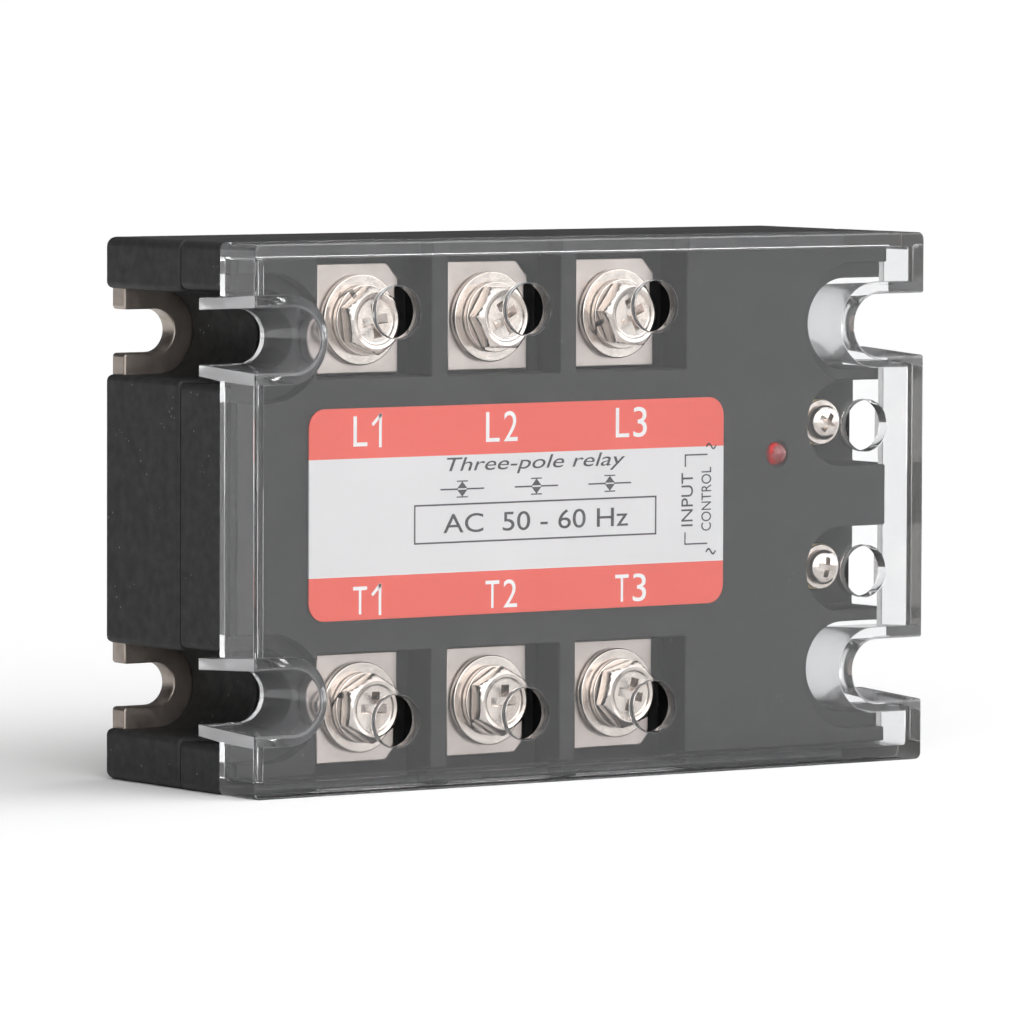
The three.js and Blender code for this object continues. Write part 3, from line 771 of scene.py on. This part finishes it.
# %% Spring washers
def spring_washer(x, z, front, back, split_at):
    """A ring of square wire with one slanted split; its ends spread a hair apart."""
    section = rounded_section(2.8 * MM, 4.7 * MM, front, back, 0.14 * MM)
    middle = (front + back) / 2
    bm = bmesh.new()
    steps, gap, slant = 60, 0.16, 0.35
    loops = []
    for step in range(steps + 1):
        angle = gap / 2 + (2 * math.pi - gap) * step / steps
        loop = []
        for radius, y in section:
            lean = slant * (y - middle) / (back - front)
            turn = split_at + angle + lean
            loop.append(bm.verts.new((x + radius * math.cos(turn), y, z + radius * math.sin(turn))))
        loops.append(loop)
    for this, after in zip(loops, loops[1:]):
        for i in range(len(section)):
            j = (i + 1) % len(section)
            bm.faces.new((this[i], this[j], after[j], after[i]))
    bm.faces.new(loops[0])
    bm.faces.new(loops[-1])
    bmesh.ops.recalc_face_normals(bm, faces=bm.faces)
    return bm


SPLITS = {"l1": 2.3, "l2": 4.4, "l3": 3.6, "t1": 2.9, "t2": 3.9, "t3": 5.2}
for tag, (centre, side) in POWER.items():
    low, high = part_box(f"spring_washer_{tag}")
    ring = spring_washer(centre.x, centre.z, low.y, high.y, SPLITS[tag])
    washer = object_from(ring, f"spring_washer_{tag}_fine")
    finish_piece(washer, [nickel_steel], f"washers_{tag}", f"spring_washer_{tag}")
print("spring washers: 6")

# %% [markdown]
# A hexagon head is a six-sided bar whose end was turned to a cone on a lathe, so each flat ends
# in a curved line. Taking the smaller of the hexagon's and the cone's radius at every angle
# draws exactly that. The top has a shallow turned dish and a cross recess with sloping walls.
# The shank carries a real helical thread, which shows when the screw is backed out.

# %% Power screws
def hexagon_radius(angle, across_flats):
    sector = math.pi / 3
    return across_flats / 2 / math.cos((angle + sector / 2) % sector - sector / 2)


def hexagon_head(x, z, head, seat, across_flats, turn):
    steps = 96
    heights = [0.0, 0.12, 0.25, 0.4, 0.6, 0.85, 1.1]
    rings = []
    for radius, sunk in ((2.9, 0.28), (3.1, 0.24), (3.3, 0.05)):
        rings.append((head + sunk * MM, arc(x, z, radius * MM, 0, 4 - 4 / steps, steps - 1)))
    for height in heights + [(seat - head) / MM - 0.25, (seat - head) / MM]:
        cone = across_flats / 2 * 0.93 + height * 1.55 * MM
        shrink = 0.12 * MM if height == (seat - head) / MM else 0
        outline = []
        for step in range(steps):
            angle = 2 * math.pi * step / steps
            radius = min(hexagon_radius(angle, across_flats), cone) - shrink
            outline.append((x + radius * math.cos(angle + turn), z + radius * math.sin(angle + turn)))
        rings.append((head + height * MM, outline))
    return loft(rings)


def threaded_shank(x, z, radius, start, end, pitch, steps=24):
    """A shank with a helical ridge, tapering to a point of its own at the far end."""
    depth = pitch * 0.5
    rows = int((end - start) / (pitch / 6))
    rings = []
    for row in range(rows + 1):
        y = start + (end - start) * row / rows
        fade = min(1.0, row / 3, (rows - row) / 6)
        outline = []
        for step in range(steps):
            phase = ((y - start) / pitch + step / steps) % 1.0
            ridge = abs(phase - 0.5) * 2
            local = radius - depth * ridge * min(1.0, row / 3) - (1 - fade) * 0.6 * MM * (row > rows / 2)
            angle = 2 * math.pi * step / steps
            outline.append((x + local * math.cos(angle), z + local * math.sin(angle)))
        rings.append((y, outline))
    return loft(rings)


def cross_recess(x, z, head, length, arm, depth, turn):
    """Two wedges that narrow towards the bottom of the recess."""
    wedges = []
    for quarter in (0, 1):
        across = turn + quarter * math.pi / 2
        rings = []
        for y, share in ((head - MM, 1.0), (head, 1.0), (head + depth, 0.45)):
            half, wide = length / 2 * share, arm / 2 * (0.6 + 0.4 * share)
            corners = [(-half, -wide), (half, -wide), (half, wide), (-half, wide)]
            rings.append((y, [(x + a * math.cos(across) - b * math.sin(across),
                               z + a * math.sin(across) + b * math.cos(across)) for a, b in corners]))
        wedges.append(loft(rings))
    return wedges


TURNS = {"l1": 8, "l2": 28, "l3": 24, "t1": -2, "t2": 0, "t3": -14}
for tag, (centre, side) in POWER.items():
    low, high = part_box(f"power_screw_{tag}")
    x, z = centre.x, centre.z
    seat = low.y + 2.5 * MM
    turn = math.radians(TURNS[tag])
    screw = object_from(hexagon_head(x, z, low.y, seat, 8 * MM, turn), f"power_screw_{tag}_fine")
    boolean(screw, [threaded_shank(x, z, 2.5 * MM, seat - 0.3 * MM, high.y, 0.8 * MM)], "UNION")
    boolean(screw, cross_recess(x, z, low.y, 5 * MM, 1.3 * MM, 1.7 * MM, turn), "DIFFERENCE")
    finish_piece(screw, [nickel_steel], f"screw_{tag}", f"power_screw_{tag}")
print("power screws: 6, faces each:", len(screw.data.polygons))

# %% [markdown]
# The control screws are small pan-head screws on brass clamp plates. Their heads are domed, so
# they show a broad soft highlight, with a dark gap between the head and its washer.

# %% Control terminals
for i, centre in CONTROL.items():
    x, z = centre.x, centre.z
    low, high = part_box(f"control_screw_{i}")
    head, seat = low.y, low.y + 1.4 * MM
    dome = [(2.4 * MM * math.sin(a), seat - 0.45 * MM - 0.95 * MM * math.cos(a))
            for a in [math.pi / 2 * k / 8 for k in range(1, 9)]]
    skirt = [(2.4 * MM, seat - 0.12 * MM), (2.28 * MM, seat), (1.2 * MM, seat)]
    screw = object_from(turned(x, z, dome + skirt), f"control_screw_{i}_fine")
    boolean(screw, [threaded_shank(x, z, 1.4 * MM, seat - 0.2 * MM, high.y, 0.5 * MM)], "UNION")
    turn = math.radians(30 + 25 * i)
    boolean(screw, cross_recess(x, z, head, 3.1 * MM, 0.8 * MM, 0.9 * MM, turn), "DIFFERENCE")
    finish_piece(screw, [nickel_steel], f"control_screw_body_{i}", f"control_screw_{i}")
    low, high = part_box(f"control_washer_{i}")
    section = rounded_section(1.7 * MM, 3.05 * MM, low.y, high.y, 0.12 * MM)
    washer = object_from(ring_body(x, z, section, 48), f"control_washer_{i}_fine")
    finish_piece(washer, [nickel_steel], f"control_washer_body_{i}", f"control_washer_{i}")
    low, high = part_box(f"control_terminal_{i}")
    half, plate_back = 3.1 * MM, low.y + 1 * MM

    def clamp_ring(inset):
        reach = half - inset
        return rounded_rectangle(x - reach, x + reach, z - reach, z + reach, 2.6 * MM - inset)

    clamp_rings = rim_rings(clamp_ring, low.y, plate_back, 0.12 * MM)
    clamp = object_from(loft(clamp_rings), f"control_terminal_{i}_fine")
    leg = block(x - half, x - half + MM, low.y + 0.4 * MM, high.y, z - MM, z + MM)
    boolean(clamp, [leg], "UNION")
    boolean(clamp, [rod(x, z, 1.7 * MM, low.y - MM, plate_back + MM, 32)], "DIFFERENCE")
    finish_piece(clamp, [brass], "relay", f"control_terminal_{i}")
print("control terminals: 2")

# %% [markdown]
# The lamp is a 3 mm light-emitting diode: a domed lens of tinted resin with a collar, on two
# leads that reach the board.

# %% Status lamp
low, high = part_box("status_led")
x, z = (low.x + high.x) / 2, (low.z + high.z) / 2
radius = 1.5 * MM
dome = [(radius * math.sin(a), low.y + radius * (1 - math.cos(a)))
        for a in [math.pi / 2 * k / 10 for k in range(1, 11)]]
collar, wide, leg_half = behind(8.9), 1.9 * MM, 0.25 * MM
base = collar + 0.9 * MM
profile = dome + [(radius, collar), (wide, collar), (wide, base), (0.6 * MM, base)]
lens = object_from(turned(x, z, profile, 40), "status_lens")
legs = [block(leg - leg_half, leg + leg_half, collar + 0.4 * MM, high.y, z - leg_half, z + leg_half)
        for leg in (x - 1.27 * MM, x + 1.27 * MM)]
boolean(lens, legs, "UNION")
finish_piece(lens, [red_lens], "relay", "status_led")
print("lamp faces:", len(lens.data.polygons))

# %% [markdown]
# The label is one printed film with rounded corners: a coral band above and below, white
# between. The print is real ink geometry a few hundredths of a millimetre thick, so it stays
# crisp at any size. Only generic marks are used: line and load numbers, a symbol for each of
# the three switched poles, and a bracket around the control side.

# %% Label film
LABEL_FRONT, LABEL_BACK = label_low.y, label_high.y
LABEL = (label_low.x, label_high.x, label_low.z, label_high.z)
UPPER_BAND, LOWER_BAND = LABEL[3] - 6.6 * MM, LABEL[2] + 5.7 * MM
CORNER = 2.5 * MM


def film_ring(inset):
    left, right, bottom, top = LABEL
    return rounded_rectangle(left + inset, right - inset, bottom + inset, top - inset, CORNER - inset, 10)


film = object_from(loft(rim_rings(film_ring, LABEL_FRONT, LABEL_BACK, 0.03 * MM, 2)), "label_film")
bm = bmesh.new()
bm.from_mesh(film.data)
for height in (UPPER_BAND, LOWER_BAND):
    everything = bm.verts[:] + bm.edges[:] + bm.faces[:]
    bmesh.ops.bisect_plane(bm, geom=everything, plane_co=(0, 0, height), plane_no=(0, 0, 1))
bm.normal_update()
for face in bm.faces:
    middle = face.calc_center_median().z
    face.material_index = 0 if LOWER_BAND < middle < UPPER_BAND else 1
bm.to_mesh(film.data)
bm.free()
bands = [face.material_index for face in film.data.polygons]
finish_piece(film, [film_white, film_coral], "relay", "front_label")
film.data.polygons.foreach_set("material_index", bands)
print("label:", f"{(LABEL[1] - LABEL[0]) / MM:.1f} x {(LABEL[3] - LABEL[2]) / MM:.1f} mm")

# %% Ink
INK_FRONT = LABEL_FRONT - 0.04 * MM


def ink_text(words, x, z, height, width=None, turn=0.0, slant=0.0):
    """Flat letters centred at x, z with a given capital height, as a bmesh facing the front."""
    curve = bpy.data.curves.new("letters", "FONT")
    curve.body = words
    curve.shear = slant
    curve.resolution_u = 6
    letters = bpy.data.objects.new("letters", curve)
    bpy.context.scene.collection.objects.link(letters)
    mesh = bpy.data.meshes.new_from_object(letters.evaluated_get(bpy.context.evaluated_depsgraph_get()))
    bpy.data.objects.remove(letters)
    xs = [vert.co.x for vert in mesh.vertices]
    tall = height / 0.69
    wide = width / (max(xs) - min(xs)) if width else tall
    bm = bmesh.new()
    bm.from_mesh(mesh)
    middle = ((max(xs) + min(xs)) / 2, 0.345)
    for vert in bm.verts:
        across, up = (vert.co.x - middle[0]) * wide, (vert.co.y - middle[1]) * tall
        vert.co = (x + across * math.cos(turn) - up * math.sin(turn), INK_FRONT,
                   z + across * math.sin(turn) + up * math.cos(turn))
    return bm


def ink_line(points, width, closed=False):
    """A line of even width through x, z points."""
    bm = bmesh.new()
    ends = list(zip(points, points[1:] + points[:1])) if closed else list(zip(points, points[1:]))
    for (x0, z0), (x1, z1) in ends:
        length = math.hypot(x1 - x0, z1 - z0)
        ux, uz = (x1 - x0) / length * width / 2, (z1 - z0) / length * width / 2
        corners = [(x0 - ux - uz, z0 - uz + ux), (x0 - ux + uz, z0 - uz - ux),
                   (x1 + ux + uz, z1 + uz - ux), (x1 + ux - uz, z1 + uz + ux)]
        bm.faces.new([bm.verts.new((x, INK_FRONT, z)) for x, z in corners])
    return bm


def ink_shape(points):
    bm = bmesh.new()
    bm.faces.new([bm.verts.new((x, INK_FRONT, z)) for x, z in points])
    return bm


def print_ink(parts, name, material):
    """Joins flat ink shapes into one piece with a little thickness."""
    whole = bmesh.new()
    for part in parts:
        mesh = bpy.data.meshes.new("ink")
        part.to_mesh(mesh)
        part.free()
        whole.from_mesh(mesh)
        bpy.data.meshes.remove(mesh)
    for face in whole.faces:
        face.normal_update()
        if face.normal.y > 0:
            face.normal_flip()
    piece = object_from(whole, name)
    layer = piece.modifiers.new("ink thickness", "SOLIDIFY")
    layer.thickness = 0.03 * MM
    layer.offset = -1
    settle(piece)
    return finish_piece(piece, [material], "relay", None)


def from_left(distance):
    return LEFT + distance * MM


columns = [from_left(21.3 + 21.15 * i) for i in range(3)]
white = []
for letter, z, tall in (("L", BOTTOM + 47.1 * MM, 4.0 * MM), ("T", BOTTOM + 24.9 * MM, 3.7 * MM)):
    for i, x in enumerate(columns):
        white.append(ink_text(letter, x - 1.45 * MM, z, tall, 2.2 * MM))
        if i:
            white.append(ink_text(str(i + 1), x + 1.45 * MM, z, tall, 2.2 * MM))
        else:
            stem, flag, tip = x + 1.7 * MM, 1.1 * MM, z + tall / 2
            white.append(ink_line([(stem - flag, tip - flag), (stem, tip), (stem, tip - tall)], 0.42 * MM))
print_ink(white, "label_print_white", ink_white)

black = [ink_text("Three-pole relay", from_left(48.1), BOTTOM + 42.3 * MM, 1.8 * MM, 29 * MM, slant=0.25)]
box_x, box_z = (from_left(28.5), from_left(67.7)), (BOTTOM + 32 * MM, BOTTOM + 37 * MM)
corners = [(box_x[0], box_z[0]), (box_x[1], box_z[0]), (box_x[1], box_z[1]), (box_x[0], box_z[1])]
black.append(ink_line(corners, 0.22 * MM, closed=True))
black.append(ink_text("AC  50 - 60 Hz", from_left(48.1), BOTTOM + 34.5 * MM, 2.5 * MM, 30 * MM))
for i in range(3):
    x, z, reach, half = from_left(36.1 + 12 * i), BOTTOM + 39.0 * MM, 3.4 * MM, 0.8 * MM
    for way in (1, -1):
        base, bar = z + way * 0.1 * MM, z + way * 1.05 * MM
        black.append(ink_line([(x - way * reach, z), (x - way * half, z)], 0.2 * MM))
        black.append(ink_shape([(x - half, base), (x + half, base), (x, z + way * MM)]))
        black.append(ink_line([(x - half, bar), (x + half, bar)], 0.16 * MM))

bracket = from_left(72.6), from_left(76.2), BOTTOM + 30.4 * MM, BOTTOM + 42.4 * MM
for z, step in ((bracket[3], 1), (bracket[2], -1)):
    inward = z - step * 1.5 * MM
    black.append(ink_line([(bracket[0], inward), (bracket[0], z), (bracket[1], z)], 0.2 * MM))
    beyond = z + step * 1.1 * MM
    wave = [(from_left(76.9) + 1.5 * MM * (k / 10 - 0.5), beyond + 0.35 * MM * math.sin(math.pi * k / 5))
            for k in range(11)]
    black.append(ink_line(wave, 0.2 * MM))
black.append(ink_text("INPUT", from_left(72.9), BOTTOM + 36.4 * MM, 1.9 * MM, 7.2 * MM, math.pi / 2))
black.append(ink_text("CONTROL", from_left(76.1), BOTTOM + 36.4 * MM, 1.6 * MM, 8.6 * MM, math.pi / 2))
print_ink(black, "label_print_black", ink_black)
print("ink pieces: 2")

# %% [markdown]
# The pieces inside the shell never show while it is closed. Their CAD solids are the right
# shape, so they only get materials: lacquered board, pressed ceramic, moulded chips, dipped
# capacitors and machined brass nuts.

# %% Inside pieces
def give_material(node, material):
    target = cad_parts[node]
    if not target.material_slots:
        target.data.materials.append(material)
    for place in target.material_slots:
        place.material = material


inside = {"circuit_board": board_green}
for i in (1, 2, 3):
    inside[f"thyristor_module_{i}"] = moulded_chip
    inside[f"light_coupler_{i}"] = moulded_chip
    inside[f"ceramic_pad_{i}"] = ceramic_white
    inside[f"snubber_capacitor_{i}"] = capacitor_yellow
for tag in POWER:
    inside[f"terminal_nut_{tag}"] = brass
for node, material in inside.items():
    give_material(node, material)
print("inside pieces:", len(inside))

# %% [markdown]
# The relay stands on a plain white floor under a white sky, as inside a light tent. The tent is
# bright in front, so the label is clear and the flat cover veils the black face with grey. It is
# open and dark behind on the left, so the left end stays black, dark behind on the right, which
# tones down the top, and dimmer overhead, so the floor is only just white.

# %% Floor
floor_mesh = bmesh.new()
bmesh.ops.create_grid(floor_mesh, x_segments=8, y_segments=8, size=200.0)
floor = object_from(floor_mesh, "floor")
paper, paper_shader = new_material("white_paper")
set_shader(paper, paper_shader, Roughness=0.9, Specular_IOR_Level=0.2,
           Base_Color=ramp(paper, noise(paper, 3), [(0.3, grey(0.93)), (0.7, grey(0.95))]))
floor.data.materials.append(paper)
floor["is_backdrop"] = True
print("floor laid")


# %% Light
def white_sky(brightness, shades):
    """An even sky with broad darker regions; shades are (direction, edge, core, how much is kept)."""
    sky = bpy.data.worlds.new("white_sky")
    sky.use_nodes = True
    nodes, links = sky.node_tree.nodes, sky.node_tree.links
    direction = nodes.new("ShaderNodeTexCoord").outputs["Generated"]
    level = None
    for towards, edge, core, kept in shades:
        facing = nodes.new("ShaderNodeVectorMath")
        facing.operation = "DOT_PRODUCT"
        links.new(direction, facing.inputs[0])
        facing.inputs[1].default_value = Vector(towards).normalized()
        fall = nodes.new("ShaderNodeMapRange")
        fall.interpolation_type = "SMOOTHSTEP"
        links.new(facing.outputs["Value"], fall.inputs["Value"])
        for key, value in (("From Min", edge), ("From Max", core), ("To Min", 1.0), ("To Max", kept)):
            fall.inputs[key].default_value = value
        if level is None:
            level = fall.outputs["Result"]
        else:
            both = nodes.new("ShaderNodeMath")
            both.operation = "MULTIPLY"
            links.new(level, both.inputs[0])
            links.new(fall.outputs["Result"], both.inputs[1])
            level = both.outputs[0]
    strength = nodes.new("ShaderNodeMath")
    strength.operation = "MULTIPLY"
    links.new(level, strength.inputs[0])
    strength.inputs[1].default_value = brightness
    links.new(strength.outputs[0], nodes["Background"].inputs["Strength"])
    nodes["Background"].inputs["Color"].default_value = (1, 1, 1, 1)
    bpy.context.scene.world = sky
    return sky


BEHIND_LEFT = ((-0.9, 0.4, 0.1), 0.1, 0.75, 0.03)
BEHIND_RIGHT = ((0.5, 0.8, 0.3), 0.68, 0.94, 0.03)
OVERHEAD = ((0, 0.5, 1), 0.2, 0.85, 0.22)
white_sky(3.2, [BEHIND_LEFT, BEHIND_RIGHT, OVERHEAD])
bpy.context.scene.view_settings.view_transform = "Standard"
print("sky brightness set")

# %% [markdown]
# The camera stands well back with a long lens, a little to the left and a little above the
# middle, so the face is seen at a slant and the left end shows as a narrow strip.

# %% Camera
YAW, PITCH, ROLL = math.radians(35.143), math.radians(3.591), math.radians(-0.197)
camera_data = bpy.data.cameras.new("camera")
camera_data.sensor_width = 36
camera_data.lens = 298.2
camera_data.clip_start = 0.05
camera = bpy.data.objects.new("camera", camera_data)
camera.location = (-656.2 * MM, -930.5 * MM, 106.1 * MM)
aim = Euler((math.pi / 2 - PITCH, 0, -YAW)).to_matrix().to_4x4()
camera.rotation_euler = (aim @ Matrix.Rotation(-ROLL, 4, "Z")).to_euler()
bpy.context.scene.collection.objects.link(camera)
bpy.context.scene.camera = camera
print("camera at", [round(value, 3) for value in camera.location])

# %% Record the size and close
low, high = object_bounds()
print("visual size (mm):", [round(value / MM, 2) for value in high - low])
